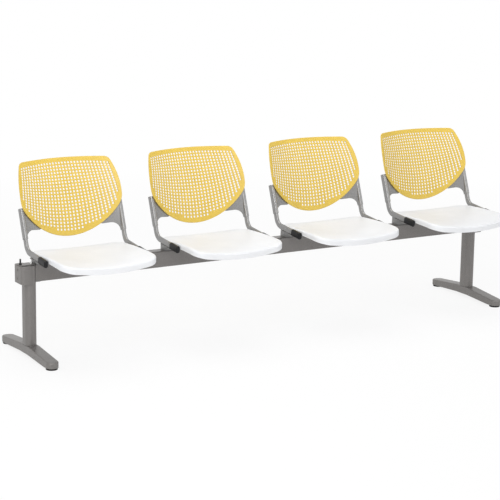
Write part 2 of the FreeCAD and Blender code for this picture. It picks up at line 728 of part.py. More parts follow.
def seat_prism(inset):
    """Upright block with the seat's outline drawn in by an inset."""
    across = mm("seat_width") / 2 - inset
    base = mm("seat_level") - BLOCK / 2
    block = Part.makeBox(2 * across, 2 * BLOCK, BLOCK, Vector(-across, -BLOCK, base))
    for radius, centre in ((mm("seat_front_bow"), mm("seat_front_bow") - mm("seat_front")),
                           (mm("seat_rear_bow"), mm("seat_rear") - mm("seat_rear_bow"))):
        block = block.common(Part.makeCylinder(radius - inset, BLOCK, Vector(0, centre, base)))
    seat_middle = (mm("seat_rear") - mm("seat_front")) / 2
    for corner, sign in ((mm("seat_front_corner"), -1), (mm("seat_rear_corner"), 1)):
        edges = [edge for edge in block.Edges
                 if runs_along(edge, ALONG_Z) and abs(edge.CenterOfMass.x) > across - 0.01
                 and (edge.CenterOfMass.y - seat_middle) * sign > 0]
        block = block.makeFillet(corner - inset, edges)
    return block


def top_face(block):
    wide = [face for face in block.Faces if face.Area > WIDE_FACE]
    return max(wide, key=lambda face: face.CenterOfMass.z)


def in_tube_axes(x, reach, rise):
    """Chair position of a point given along the side tubes' front runs."""
    angle = math.radians(mm("tube_slope"))
    return Vector(x, front_y.number + reach * math.cos(angle) - rise * math.sin(angle),
                  front_z.number + reach * math.sin(angle) + rise * math.cos(angle))


def seat_shape():
    """Dished pan with a turned-down rim and four screw bosses that stand on the straps."""
    wall = mm("seat_wall")
    block = seat_slab(seat_edge(0), seat_edge(0, 1.0)).common(seat_prism(0)).Solids[0]
    block = block.makeFillet(mm("seat_roll"), top_face(block).Edges)
    hollow = seat_slab(seat_edge(wall), seat_edge(2 * wall, 1.0)).common(seat_prism(wall)).Solids[0]
    hollow = hollow.makeFillet(mm("seat_roll") - wall, top_face(hollow).Edges)
    pan = block.cut(hollow)
    solid_top = seat_slab(seat_edge(wall / 2), seat_edge(BLOCK / 8)).common(seat_prism(wall))
    upright = in_tube_axes(0, 0, 1) - in_tube_axes(0, 0, 0)
    base = -mm("tube_height") / 2
    for _, side in SIDES:
        for reach in (mm("strap_front"), mm("strap_rear")):
            foot = in_tube_axes(mm("boss_place") * side, reach, base)
            boss = Part.makeCylinder(mm("boss_width") / 2, 40, foot, upright).common(solid_top)
            pilot = Part.makeCylinder(mm("screw_shank") / 2 + mm("thread_fit"),
                                      mm("screw_grip") + mm("thread_fit"), foot, upright)
            pan = pan.fuse(boss).cut(pilot)
    return pan.Solids[0]


def back_edge(depth):
    """Upright line of the back's middle, at a depth behind its front face."""
    radius = mm("back_bow") - depth
    spots = []
    for level in (-60, mm("back_bow_level"), 340):
        rise = level - mm("back_bow_level")
        spots.append(Vector(0, mm("back_bow") - math.sqrt(radius ** 2 - rise ** 2), level))
    return Part.Arc(*spots).toShape()


def back_slab(near, far):
    """Slice of the wrapped back between two depths behind its front face."""
    centre = Vector(0, -mm("back_curve"), 0)
    return spin(ring_between(back_edge(near), back_edge(far)), centre, ALONG_Z, BACK_TURN)


def back_prism(inset):
    """Block with the back's outline drawn in by an inset, crossed front to rear."""
    disks = [
        (mm("outline_bottom_arc"), 0, mm("outline_bottom_arc") - mm("outline_foot")),
        (mm("outline_top_arc"), 0, mm("outline_top") - mm("outline_top_arc")),
        (mm("outline_side_arc"), mm("outline_half") - mm("outline_side_arc"), mm("outline_widest")),
        (mm("outline_side_arc"), mm("outline_side_arc") - mm("outline_half"), mm("outline_widest"))]
    block = None
    for radius, x, level in disks:
        disk = Part.makeCylinder(radius - inset, BLOCK, Vector(x, -BLOCK / 2, level), ALONG_Y)
        block = block.common(disk) if block else disk
    for corner, sign in ((mm("outline_top_corner"), 1), (mm("outline_low_corner"), -1)):
        edges = [edge for edge in block.Edges if runs_along(edge, ALONG_Y)
                 and (edge.CenterOfMass.z - mm("outline_widest")) * sign > 20
                 and abs(edge.CenterOfMass.x) > 100]
        block = block.makeFillet(corner - inset, edges)
    return block


def back_bow(level):
    """Depth of the back's front line behind its foremost point, and its slope."""
    rise = level - mm("back_bow_level")
    run = math.sqrt(mm("back_bow") ** 2 - rise ** 2)
    return mm("back_bow") - run, rise / run


def back_spot(x, level, depth):
    """Point and backward normal of the back, at a depth behind its front face."""
    bow, lift = back_bow(level)
    radius = mm("back_curve") + bow
    ahead = math.sqrt(radius ** 2 - x ** 2)
    normal = Vector(x / radius, ahead / radius, -lift).normalize()
    return Vector(x, ahead - mm("back_curve"), level) + normal * depth, normal


def back_screw_spots():
    return [(mm("inner_screw"), mm("inner_screw_level")), (mm("outer_screw"), mm("outer_screw_level"))]


def screw_bores(side, near, far, fit):
    """Cylinders on a side's back screws between two depths behind the front face."""
    bores = []
    for x, level in back_screw_spots():
        spot, normal = back_spot(x * side, level, near)
        bores.append(Part.makeCylinder(mm("screw_shank") / 2 + fit, far - near, spot, normal))
    return bores


def hole_spots():
    """Centre and half widths of every square hole of the back."""
    spots = []
    for row, count in enumerate(ROW_HOLES, start=1):
        pitch = mm("column_pitch") + mm("column_growth") * (row - 1)
        arch = mm("row_arch_growth") * (row - 1) - mm("row_arch")
        for column in range(count):
            reach = (column - (count - 1) / 2) * pitch
            x = mm("back_curve") * math.sin(reach / mm("back_curve"))
            level = (len(ROW_HOLES) - row) * mm("row_pitch") + arch * reach ** 2
            narrow = mm("hole_size") / 2 * math.cos(reach / mm("back_curve"))
            spots.append((x, level, narrow, mm("hole_size") / 2))
    return spots


def back_shape():
    """Wrapped panel with a thicker rim, pierced by rows of square holes."""
    block = back_slab(0, mm("back_rim")).common(back_prism(0)).Solids[0]
    wide = [face for face in block.Faces if face.Area > WIDE_FACE]
    rims = [edge for face in wide for edge in face.Edges]
    block = block.makeFillet(mm("back_edge"), rims)
    hollow = back_slab(mm("back_panel"), 40).common(back_prism(mm("back_rim_width")))
    shell = block.cut(hollow)
    tools = []
    for x, level, wide_half, tall_half in hole_spots():
        tools.append(Part.makeBox(2 * wide_half, BLOCK, 2 * tall_half,
                                  Vector(x - wide_half, -BLOCK / 2, level - tall_half)))
    for _, side in SIDES:
        tools += screw_bores(side, mm("back_rim") - mm("screw_grip") + mm("fin_gap"), mm("back_rim") + 2,
                             mm("thread_fit"))
    return shell.cut(Part.makeCompound(tools)).Solids[0]


def rounded_bar(spare, x, low, high):
    """Upright bar with the side tube's section grown by a spare, in the back's axes."""
    across = mm("tube_width") / 2 + spare
    deep = mm("tube_height") / 2 + spare
    bar = Part.makeBox(2 * across, 2 * deep, high - low,
                       Vector(x - across, -mm("tube_stand") - deep, low))
    edges = [edge for edge in bar.Edges if runs_along(edge, ALONG_Z)]
    return bar.makeFillet(mm("tube_corner") + spare, edges)


def fin_prism(side):
    """Gusset outline with a round throat beside the tube, crossed front to rear."""
    throat = mm("fin_throat")
    centre = Vector(mm("fin_throat_place"), 0, mm("fin_edge") - throat)
    spots = [(mm("fin_outer"), -mm("fin_foot")), (mm("fin_outer"), mm("fin_top")),
             (mm("fin_shoulder"), mm("fin_top")), (mm("fin_shoulder"), mm("fin_neck")),
             (mm("fin_inner"), mm("fin_brow")), (mm("fin_inner"), mm("fin_heel")),
             (mm("fin_tip"), mm("fin_edge")), (centre.x, mm("fin_edge"))]
    low = Vector(centre.x + throat, 0, centre.z)
    points = [low] + [Vector(x, 0, level) for x, level in spots]
    edges = [Part.LineSegment(first, second).toShape() for first, second in zip(points, points[1:])]
    slant = throat * math.sqrt(0.5)
    edges.append(Part.Arc(points[-1], centre + Vector(slant, 0, slant), low).toShape())
    wire = Part.Wire(edges)
    if side < 0:
        wire = wire.mirror(Vector(), ALONG_X)
    wire.translate(Vector(0, -BLOCK / 2, 0))
    return Part.Face(wire).extrude(Vector(0, BLOCK, 0))


def back_bracket_shape(side):
    """Gusset plate that follows the shell's rim, welded to a closed sleeve over the side tube."""
    near = mm("back_rim") + mm("fin_gap")
    far = near + mm("fin_thick")
    plate = back_slab(near, far).common(fin_prism(side)).cut(back_prism(mm("fin_cover")))
    x = mm("tube_axis") * side
    skin = mm("sleeve_fit") + mm("sleeve_wall")
    sleeve = rounded_bar(skin, x, -mm("fin_foot"), mm("sleeve_top"))
    bore = rounded_bar(mm("sleeve_fit"), x, -2 * mm("fin_foot"), mm("tube_top") + mm("leg_fit"))
    shape = plate.fuse(sleeve).cut(bore)
    for hole in screw_bores(side, near - 1, far + 1, mm("leg_fit")):
        shape = shape.cut(hole)
    return max(shape.Solids, key=lambda solid: solid.Volume)


def stand_at_back(item, x):
    """Set a finished piece on the back's own axes, reclined with it."""
    return put(tilt(item, -lean), x, size("back_place"), size("back_level"))


def drawn(name, shape):
    item = doc.addObject("Part::Feature", name)
    item.Shape = shape
    return item


def make_back_screws():
    screws = []
    grip = size("fin_thick") + size("screw_grip")
    depth = mm("back_rim") + mm("fin_gap") + mm("fin_thick")
    for number in CHAIRS:
        for _, side in SIDES:
            for reach, level in back_screw_spots():
                spot, normal = back_spot(reach * side, level, depth)
                x = chair_place(number) + spot.x
                head = cylinder("BackHead", size("screw_head") / 2, size("screw_head_height"),
                                x, spot.y, spot.z, Rotation(ALONG_Z, normal))
                shank = cylinder("BackShank", size("screw_shank") / 2, grip,
                                 x, spot.y, spot.z, Rotation(ALONG_Z, -normal))
                screws.append(fuse("BackScrew", [shank, head]))
    return keep(stand_at_back(group("BackScrews", screws), 0), "back_screws")


# Build every piece
make_beam()
for label, side in SIDES:
    make_post(label, side)
    make_saddle(label, side)
    make_clamp(label, side)
    make_cover(label, side)
    make_foot(label, side)
    for end, sign in (("front", -1), ("rear", 1)):
        make_glide(label, side, end, sign)
make_clamp_bolts()
make_cover_bolts()
make_foot_bolts()
make_bracket_bolts()
make_seat_screws()
make_back_screws()

seat = seat_shape()
back = back_shape()
gussets = {side: back_bracket_shape(side) for _, side in SIDES}
for number in CHAIRS:
    make_brackets(number)
    make_straps(number)
    make_caps(number)
    keep(put(drawn("Seat", seat), chair_place(number)), "seat_shell_%d" % number)
    keep(stand_at_back(drawn("Back", back), chair_place(number)), "back_shell_%d" % number)
    for label, side in SIDES:
        make_tube(number, label, side)
        keep(stand_at_back(drawn("BackBracket", gussets[side]), chair_place(number)),
             "back_bracket_%s_%d" % (label, number))
doc.recompute()

# Check and export
for item in doc.Objects:
    if "Invalid" in item.State or "Error" in item.State:
        raise RuntimeError("%s did not compute: %s" % (item.Label, item.State))
os.makedirs("parts", exist_ok=True)
for item in parts:
    shape = item.Shape
    if shape.isNull() or not shape.isValid():
        raise RuntimeError("%s has no sound shape" % item.Label)
    shape.exportStep("parts/%s.step" % item.Label)
    print("%-26s %3d solids %9.0f mm3" % (item.Label, len(shape.Solids), shape.Volume))
print("%d parts" % len(parts))
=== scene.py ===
import json
import math

import bpy
from mathutils import Matrix, Vector, geometry


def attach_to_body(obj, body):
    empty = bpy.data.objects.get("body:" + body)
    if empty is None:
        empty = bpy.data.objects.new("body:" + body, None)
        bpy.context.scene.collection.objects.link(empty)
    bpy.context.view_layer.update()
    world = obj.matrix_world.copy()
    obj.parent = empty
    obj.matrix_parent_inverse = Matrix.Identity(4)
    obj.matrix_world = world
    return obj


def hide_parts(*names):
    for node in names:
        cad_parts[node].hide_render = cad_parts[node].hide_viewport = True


# Looks for a beam bench with four chairs. Metres, in the same frame as the CAD model.
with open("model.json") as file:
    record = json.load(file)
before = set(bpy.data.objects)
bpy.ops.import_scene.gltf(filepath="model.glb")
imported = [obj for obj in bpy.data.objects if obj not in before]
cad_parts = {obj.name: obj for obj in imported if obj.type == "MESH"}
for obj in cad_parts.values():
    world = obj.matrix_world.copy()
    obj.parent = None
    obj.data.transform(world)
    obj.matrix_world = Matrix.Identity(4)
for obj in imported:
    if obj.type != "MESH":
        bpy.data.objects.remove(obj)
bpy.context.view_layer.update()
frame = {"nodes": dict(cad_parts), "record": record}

BODY = "bench"
MM = 0.001

# Sizes shared with the solids, in millimetres and degrees
CHAIR_PITCH = 610.0
CHAIRS = (1, 2, 3, 4)
ROW_SHIFT = 50.0
BEAM_TOP = 396.0
POST_AXIS = 1142.0
GLIDE_PLACE = 226.0
LEAN = 20.5
BACK_PLACE = 62.6
BACK_LEVEL = 515.7
BACK_CURVE = 500.0
BACK_BOW = 965.0
BOW_LEVEL = 160.0
PANEL = 4.5
RIM = 7.0
RIM_WIDTH = 15.0
HOLE = 8.6
ROW_PITCH = 14.44
COLUMN_PITCH = 14.16
COLUMN_GROWTH = 0.114
ROW_ARCH = 0.000497
ROW_ARCH_GROWTH = 0.0000788
ROW_HOLES = [30] * 13 + [28] * 3 + [26, 24, 22, 18, 8]


def chair_x(number):
    return CHAIR_PITCH * (number - (len(CHAIRS) + 1) / 2)


# Node materials
def new_material(name):
    material = bpy.data.materials.new(name)
    material.use_nodes = True
    nodes = material.node_tree.nodes
    return material, nodes, material.node_tree.links, nodes["Principled BSDF"]


def noise(nodes, links, coordinates, scale, detail=3.0, roughness=0.55):
    node = nodes.new("ShaderNodeTexNoise")
    node.inputs["Scale"].default_value = scale
    node.inputs["Detail"].default_value = detail
    node.inputs["Roughness"].default_value = roughness
    links.new(coordinates.outputs["Object"], node.inputs["Vector"])
    return node.outputs["Fac"]


def spread(nodes, links, value, low, high, start=0.3, end=0.7):
    """Map a noise value onto a plain number range."""
    node = nodes.new("ShaderNodeMapRange")
    node.inputs["From Min"].default_value = start
    node.inputs["From Max"].default_value = end
    node.inputs["To Min"].default_value = low
    node.inputs["To Max"].default_value = high
    links.new(value, node.inputs["Value"])
    return node.outputs["Result"]


def tone(nodes, links, value, dark, light, start=0.3, end=0.7):
    """Mix two colours by a noise value."""
    ramp = nodes.new("ShaderNodeValToRGB")
    ramp.color_ramp.elements[0].position = start
    ramp.color_ramp.elements[0].color = (*dark, 1)
    ramp.color_ramp.elements[1].position = end
    ramp.color_ramp.elements[1].color = (*light, 1)
    links.new(value, ramp.inputs["Fac"])
    return ramp.outputs["Color"]


def blend_colours(nodes, links, factor, first, second, kind="MIX"):
    mix = nodes.new("ShaderNodeMix")
    mix.data_type = "RGBA"
    mix.blend_type = kind
    if isinstance(factor, float):
        mix.inputs["Factor"].default_value = factor
    else:
        links.new(factor, mix.inputs["Factor"])
    links.new(first, mix.inputs[6])
    links.new(second, mix.inputs[7])
    return mix.outputs[2]


def bump(nodes, links, height, strength, distance, under=None):
    node = nodes.new("ShaderNodeBump")
    node.inputs["Strength"].default_value = strength
    node.inputs["Distance"].default_value = distance
    links.new(height, node.inputs["Height"])
    if under:
        links.new(under, node.inputs["Normal"])
    return node.outputs["Normal"]


def soft_edges(nodes, radius):
    node = nodes.new("ShaderNodeBevel")
    node.samples = 6
    node.inputs["Radius"].default_value = radius
    return node.outputs["Normal"]


# Noise scales, in features a metre: spark-eroded grain, coat flakes and orange peel
GRAIN_SCALE = 900.0
FLAKE_SCALE = 2600.0
PEEL_SCALE = 420.0


def moulded_plastic(name, dark, light, roughness, bend=1.49):
    """Satin moulded plastic: fine spark-eroded grain, faint flow tone and rubbed patches."""
    material, nodes, links, shader = new_material(name)
    place = nodes.new("ShaderNodeTexCoord")
    flow = noise(nodes, links, place, 9.0, 2.0)
    fine = noise(nodes, links, place, GRAIN_SCALE, 2.0, 0.6)
    rub = noise(nodes, links, place, 38.0, 4.0, 0.65)
    broad = tone(nodes, links, flow, dark, light)
    links.new(broad, shader.inputs["Base Color"])
    links.new(spread(nodes, links, rub, roughness - 0.05, roughness + 0.07), shader.inputs["Roughness"])
    links.new(bump(nodes, links, fine, 0.15, 0.00004, soft_edges(nodes, 0.0006)), shader.inputs["Normal"])
    shader.inputs["IOR"].default_value = bend
    return material


def powder_coat(name, dark, light, metallic, roughness, edge=0.0008):
    """Metallic powder coat: flakes in two greys over a faint orange peel."""
    material, nodes, links, shader = new_material(name)
    place = nodes.new("ShaderNodeTexCoord")
    flake = noise(nodes, links, place, FLAKE_SCALE, 1.0, 0.5)
    peel = noise(nodes, links, place, PEEL_SCALE, 2.0, 0.5)
    wear = noise(nodes, links, place, 16.0, 5.0, 0.7)
    flakes = tone(nodes, links, flake, dark, light, 0.35, 0.68)
    shade = tone(nodes, links, wear, (0.93, 0.93, 0.93), (1.0, 1.0, 1.0))
    links.new(blend_colours(nodes, links, 1.0, flakes, shade, "MULTIPLY"), shader.inputs["Base Color"])
    links.new(spread(nodes, links, wear, roughness - 0.05, roughness + 0.06), shader.inputs["Roughness"])
    normal = bump(nodes, links, peel, 0.25, 0.00012, soft_edges(nodes, edge))
    links.new(bump(nodes, links, flake, 0.12, 0.00003, normal), shader.inputs["Normal"])
    shader.inputs["Metallic"].default_value = metallic
    return material


def plated_steel(name, dark, light, roughness):
    """Plated or blackened steel with fine turning marks."""
    material, nodes, links, shader = new_material(name)
    place = nodes.new("ShaderNodeTexCoord")
    marks = noise(nodes, links, place, 1500.0, 3.0, 0.7)
    stain = noise(nodes, links, place, 60.0, 3.0)
    links.new(tone(nodes, links, stain, dark, light), shader.inputs["Base Color"])
    links.new(spread(nodes, links, marks, roughness - 0.06, roughness + 0.08), shader.inputs["Roughness"])
    links.new(bump(nodes, links, marks, 0.2, 0.00004, soft_edges(nodes, 0.0004)), shader.inputs["Normal"])
    shader.inputs["Metallic"].default_value = 1.0
    return material


MATERIALS = {
    "back_plastic": moulded_plastic("back_plastic", (0.68, 0.475, 0.072), (0.72, 0.51, 0.086), 0.42),
    "seat_plastic": moulded_plastic("seat_plastic", (0.765, 0.775, 0.792), (0.795, 0.805, 0.822), 0.40),
    "cap_plastic": moulded_plastic("cap_plastic", (0.008, 0.008, 0.009), (0.014, 0.014, 0.015), 0.36, 1.3),
    "glide_plastic": moulded_plastic("glide_plastic", (0.012, 0.012, 0.012), (0.022, 0.022, 0.022), 0.5, 1.3),
    "frame_coat": powder_coat("frame_coat", (0.21, 0.207, 0.204), (0.36, 0.356, 0.352), 0.6, 0.30),
    "under_coat": powder_coat("under_coat", (0.22, 0.22, 0.215), (0.36, 0.355, 0.35), 0.45, 0.45),
    "beam_coat": powder_coat("beam_coat", (0.15, 0.141, 0.135), (0.27, 0.257, 0.247), 0.5, 0.36),
    "zinc_bolt": plated_steel("zinc_bolt", (0.62, 0.62, 0.61), (0.76, 0.76, 0.75), 0.25),
    "dark_bolt": plated_steel("dark_bolt", (0.07, 0.07, 0.07), (0.12, 0.12, 0.12), 0.4),
}


def paint(item, slot):
    item.data.materials.clear()
    item.data.materials.append(MATERIALS[slot])


for entry in frame["record"]["subparts"]:
    paint(frame["nodes"][entry["node"]], entry["material_slot"])


# Mesh helpers
def new_object(name, points, faces, slot, matrix=None, smooth=True):
    mesh = bpy.data.meshes.new(name)
    mesh.from_pydata([Vector(point) * MM for point in points], [], faces)
    mesh.validate()
    mesh.polygons.foreach_set("use_smooth", [smooth] * len(mesh.polygons))
    item = bpy.data.objects.new(name, mesh)
    bpy.context.scene.collection.objects.link(item)
    if matrix:
        item.matrix_world = matrix
    paint(item, slot)
    return item


def attach(item, slot, *nodes):
    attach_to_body(item, BODY)
    if nodes:
        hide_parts(*nodes)


# Back shell outline: four large arcs joined by corner fillets, as an evenly numbered loop
def crossing(first, second, keep):
    """The crossing of two circles that scores highest."""
    (x1, y1, r1), (x2, y2, r2) = first, second
    run = math.hypot(x2 - x1, y2 - y1)
    along = (r1 * r1 - r2 * r2 + run * run) / (2 * run)
    off = math.sqrt(r1 * r1 - along * along)
    ux, uy = (x2 - x1) / run, (y2 - y1) / run
    px, py = x1 + along * ux, y1 + along * uy
    return max([(px + off * uy, py - off * ux), (px - off * uy, py + off * ux)], key=keep)


BOTTOM = (0.0, 248.5, 275.0)
TOP = (0.0, 313.0 - 1164.0, 1164.0)
SIDE = (-166.0, 145.0, 400.0)
TOP_CORNER = 28.0
LOW_CORNER = 78.0


def corner_centre(first, second, radius):
    inner = [(x, y, r - radius) for x, y, r in (first, second)]
    return crossing(inner[0], inner[1], lambda point: point[0])


LOW_CENTRE = corner_centre(BOTTOM, SIDE, LOW_CORNER)
TOP_CENTRE = corner_centre(TOP, SIDE, TOP_CORNER)


def bearing(start, end):
    return math.atan2(end[1] - start[1], end[0] - start[0])


def right_half_arcs():
    """Arcs of the outline's right half, bottom to top: centre, radius, first and last angle."""
    low_join = bearing(BOTTOM, LOW_CENTRE)
    side_low = bearing(SIDE, LOW_CENTRE)
    side_top = bearing(SIDE, TOP_CENTRE)
    top_join = bearing(TOP, TOP_CENTRE)
    return [
        (BOTTOM[:2], BOTTOM[2], -math.pi / 2, low_join, 44),
        (LOW_CENTRE, LOW_CORNER, low_join, side_low, 16),
        (SIDE[:2], SIDE[2], side_low, side_top, 30),
        (TOP_CENTRE, TOP_CORNER, side_top, top_join, 14),
        (TOP[:2], TOP[2], top_join, math.pi / 2, 40)]


def outline(inset):
    """Closed loop of the back's outline, drawn in by an inset, anticlockwise from the bottom."""
    right = []
    for centre, radius, first, last, steps in right_half_arcs():
        for step in range(steps):
            angle = first + (last - first) * step / steps
            right.append((centre[0] + (radius - inset) * math.cos(angle),
                          centre[1] + (radius - inset) * math.sin(angle)))
    crest = (0.0, TOP[1] + TOP[2] - inset)
    left = [(-x, level) for x, level in reversed(right[1:])]
    return right + [crest] + left


def edge_distance(x, level):
    """How far a point of the back lies inside its outline."""
    x = abs(x)
    gap = min(r - math.hypot(x - cx, level - cy) for cx, cy, r in (BOTTOM, TOP, SIDE))
    for centre, radius, first, second in ((LOW_CENTRE, LOW_CORNER, BOTTOM, SIDE),
                                          (TOP_CENTRE, TOP_CORNER, TOP, SIDE)):
        angle = math.atan2(level - centre[1], x - centre[0])
        ends = sorted([bearing(first, centre), bearing(second, centre)])
        if ends[0] < angle < ends[1]:
            gap = min(gap, radius - math.hypot(x - centre[0], level - centre[1]))
    return gap


def on_back(x, level, depth):
    """Point of the back at a depth behind its front face, in the back's own axes."""
    radius = BACK_BOW - depth
    bow = BACK_BOW - math.sqrt(radius ** 2 - (level - BOW_LEVEL) ** 2)
    return Vector((x, math.sqrt((BACK_CURVE + bow) ** 2 - x * x) - BACK_CURVE, level))


def back_normal(x, level):
    """Backward normal of the back's double curve."""
    rise = level - BOW_LEVEL
    run = math.sqrt(BACK_BOW ** 2 - rise ** 2)
    radius = BACK_CURVE + BACK_BOW - run
    return Vector((x / radius, math.sqrt(1 - (x / radius) ** 2), -rise / run)).normalized()


def thickness(x, level):
    """Panel thickness in the middle, easing up to the rim's near the edge."""
    share = min(1.0, max(0.0, (RIM_WIDTH + 2.0 - edge_distance(x, level)) / 4.0))
    return PANEL + (RIM - PANEL) * share * share * (3 - 2 * share)


def hole_centres():
    centres = []
    for row, count in enumerate(ROW_HOLES, start=1):
        pitch = COLUMN_PITCH + COLUMN_GROWTH * (row - 1)
        arch = ROW_ARCH_GROWTH * (row - 1) - ROW_ARCH
        for column in range(count):
            reach = (column - (count - 1) / 2) * pitch
            centres.append((reach, (len(ROW_HOLES) - row) * ROW_PITCH + arch * reach * reach))
    return centres


def hole_loop(reach, level, grow):
    """Rounded square round a hole's centre, grown by a margin, as points of the front view."""
    half = HOLE / 2 + grow
    corner = 2.0 + grow
    loop = []
    for turn in range(4):
        start = turn * math.pi / 2
        sign_x = 1 if turn in (0, 3) else -1
        sign_y = 1 if turn in (0, 1) else -1
        for step in range(4):
            angle = start + step * math.pi / 6
            u = reach + sign_x * (half - corner) + corner * math.cos(angle)
            loop.append((BACK_CURVE * math.sin(u / BACK_CURVE),
                         level + sign_y * (half - corner) + corner * math.sin(angle)))
    return loop


# Hole mouth: how far each ring stands out from the hole, and its depth under a face
MOUTH = [(0.65, 0.0), (0.22, 0.2), (0.0, 0.65)]
# Rim's rounded edge: inset from the outline and depth behind the front face
ROUND = [(2.0, 0.0), (1.18, 0.18), (0.55, 0.6), (0.14, 1.25), (0.0, 2.0),
         (0.0, RIM - 2.0), (0.14, RIM - 1.25), (0.55, RIM - 0.6), (1.18, RIM - 0.18), (2.0, RIM)]


def bridge(faces, first, second, count, flip=False):
    """Quads between two loops of the same length, given by their first point's number."""
    for step in range(count):
        following = (step + 1) % count
        quad = (first + step, first + following, second + following, second + step)
        faces.append(tuple(reversed(quad)) if flip else quad)


def back_mesh():
    """Points, faces and face normals of the perforated back."""
    points, faces, normals = [], [], []

    def add_loop(loop, depth_of, normal_of=None):
        start = len(points)
        for x, level in loop:
            points.append(on_back(x, level, depth_of(x, level)))
            normals.append(normal_of(x, level) if normal_of else Vector())
        return start

    def forward(x, level):
        return -back_normal(x, level)

    count = len(outline(0))
    ring_starts = []
    for place, (inset, depth) in enumerate(ROUND):
        facing = forward if place == 0 else back_normal if place == len(ROUND) - 1 else None
        ring_starts.append(add_loop(outline(inset), lambda x, level, depth=depth: depth, facing))
    for first, second in zip(ring_starts, ring_starts[1:]):
        bridge(faces, first, second, count, flip=True)

    centres = hole_centres()
    fronts, backs = [], []
    for reach, level in centres:
        rings = []
        for grow, depth in MOUTH:
            facing = forward if depth == 0 else None
            rings.append(add_loop(hole_loop(reach, level, grow), lambda x, y, depth=depth: depth, facing))
        for grow, depth in reversed(MOUTH):
            facing = back_normal if depth == 0 else None
            rings.append(add_loop(hole_loop(reach, level, grow),
                                  lambda x, y, depth=depth: thickness(x, y) - depth, facing))
        for first, second in zip(rings, rings[1:]):
            bridge(faces, first, second, 16)
        fronts.append(rings[0])
        backs.append(rings[-1])

    for outer, holes, flip in ((ring_starts[0], fronts, False), (ring_starts[-1], backs, True)):
        numbers = list(range(outer, outer + count))
        loops = [numbers] + [list(range(start, start + 16)) for start in holes]
        flat, edges, owner = [], [], []
        for which, loop in enumerate(loops):
            first = len(flat)
            for step, number in enumerate(loop):
                flat.append(Vector((points[number].x, points[number].z)))
                owner.append((which, number))
                edges.append((first + step, first + (step + 1) % len(loop)))
        result = geometry.delaunay_2d_cdt(flat, edges, [], 1, 1e-6)
        kept = [owner[origin[0]] if origin else None for origin in result[3]]
        for face in result[2]:
            corners = [kept[corner] for corner in face]
            wheres = {corner[0] for corner in corners}
            if len(wheres) == 1 and 0 not in wheres:
                continue
            numbers = [corner[1] for corner in corners]
            a, b, c = (points[number] for number in numbers)
            turned = (b - a).cross(c - a).y > 0
            faces.append(tuple(reversed(numbers)) if turned != flip else tuple(numbers))
    return points, faces, normals


back_points, back_faces, back_normals = back_mesh()
recline = Matrix.Rotation(math.radians(-LEAN), 3, "X")
back_points = [recline @ point for point in back_points]
back_normals = [recline @ normal for normal in back_normals]
shared_back = None
for number in CHAIRS:
    place = Matrix.Translation(Vector((chair_x(number), ROW_SHIFT + BACK_PLACE, BACK_LEVEL)) * MM)
    if shared_back is None:
        item = new_object("back_moulding_%d" % number, back_points, back_faces, "back_plastic", place)
        shared_back = item.data
        shared_back.normals_split_custom_set_from_vertices(back_normals)
    else:
        item = bpy.data.objects.new("back_moulding_%d" % number, shared_back)
        bpy.context.scene.collection.objects.link(item)
        item.matrix_world = place
    attach(item, "back_plastic", "back_shell_%d" % number)


# Turned pieces: fasteners and glides
def turned(profile, steps=24):
    """Closed turned solid; each ring is a radius, a height and a number of flats, 0 for a round one."""
    points, faces = [], []
    for radius, height, flats in profile:
        for step in range(steps):
            angle = 2 * math.pi * step / steps
            reach = radius
            if flats:
                wedge = math.pi / flats
                reach = radius / math.cos(angle % (2 * wedge) - wedge)
            points.append(Vector((reach * math.cos(angle), reach * math.sin(angle), height)))
    for ring in range(len(profile) - 1):
        bridge(faces, ring * steps, (ring + 1) * steps, steps)
    faces.append(tuple(reversed(range(steps))))
    faces.append(tuple(range((len(profile) - 1) * steps, len(profile) * steps)))
    return points, faces


def shank(radius, length):
    return [(radius * 0.75, -length, 0), (radius, -length + radius * 0.25, 0), (radius, 0, 0)]


def button_head(length):
    return shank(4, length) + [(6.9, 0, 0), (7, 0.3, 0), (7, 1.5, 0), (6.6, 3.1, 0), (5.7, 4.7, 0), (4.3, 5.8, 0),
                               (3.2, 6, 0), (2.4, 5.9, 6), (2.4, 2.8, 6)]


def socket_head(length):
    return shank(4, length) + [(6.7, 0, 0), (7, 0.3, 0), (7, 5.3, 0), (6.7, 5.8, 0), (6.2, 6, 0), (3.7, 6, 0),
                               (3.0, 5.8, 6), (3.0, 2.4, 6)]


def hex_head(length):
    return shank(4, length) + [(6.0, 0, 6), (6.06, 0.2, 6), (6.06, 5.3, 6), (5.8, 5.8, 0), (5.2, 6, 0)]


def pan_head(length):
    return shank(2.5, length) + [(4.9, 0, 0), (5, 0.2, 0), (4.9, 1.2, 0), (4.3, 2.2, 0), (3.2, 2.8, 0), (2.2, 3, 0),
                                 (1.5, 2.95, 6), (1.4, 1.2, 6)]


def nut_and_stud(length, rise):
    """Hexagon nut with the threaded end of a stud standing out of it."""
    rings = shank(4, length) + [(6.0, 0, 6), (6.06, 0.2, 6), (6.06, 5.4, 6), (5.8, 5.9, 0), (4.6, 6, 0)]
    height = 6.1
    while height < rise - 2.0:
        rings += [(3.45, height, 0), (4.0, height + 0.62, 0)]
        height += 1.25
    return rings + [(3.5, rise - 0.8, 0), (3.0, rise, 0)]


def placed(copies):
    """One mesh from copies of turned solids, each given with its place and the way its head faces."""
    points, faces = [], []
    for profile, spot, facing in copies:
        spin = Vector((0, 0, 1)).rotation_difference(Vector(facing)).to_matrix()
        start = len(points)
        own_points, own_faces = turned(profile)
        points += [spin @ point + Vector(spot) for point in own_points]
        faces += [tuple(corner + start for corner in face) for face in own_faces]
    return points, faces


def make_fasteners(node, slot, copies, matrix=None):
    points, faces = placed(copies)
    item = new_object("%s_%s_turned" % (node, slot), points, faces, slot, matrix)
    item.data.set_sharp_from_angle(angle=math.radians(32))
    attach(item, slot, node)
    return item


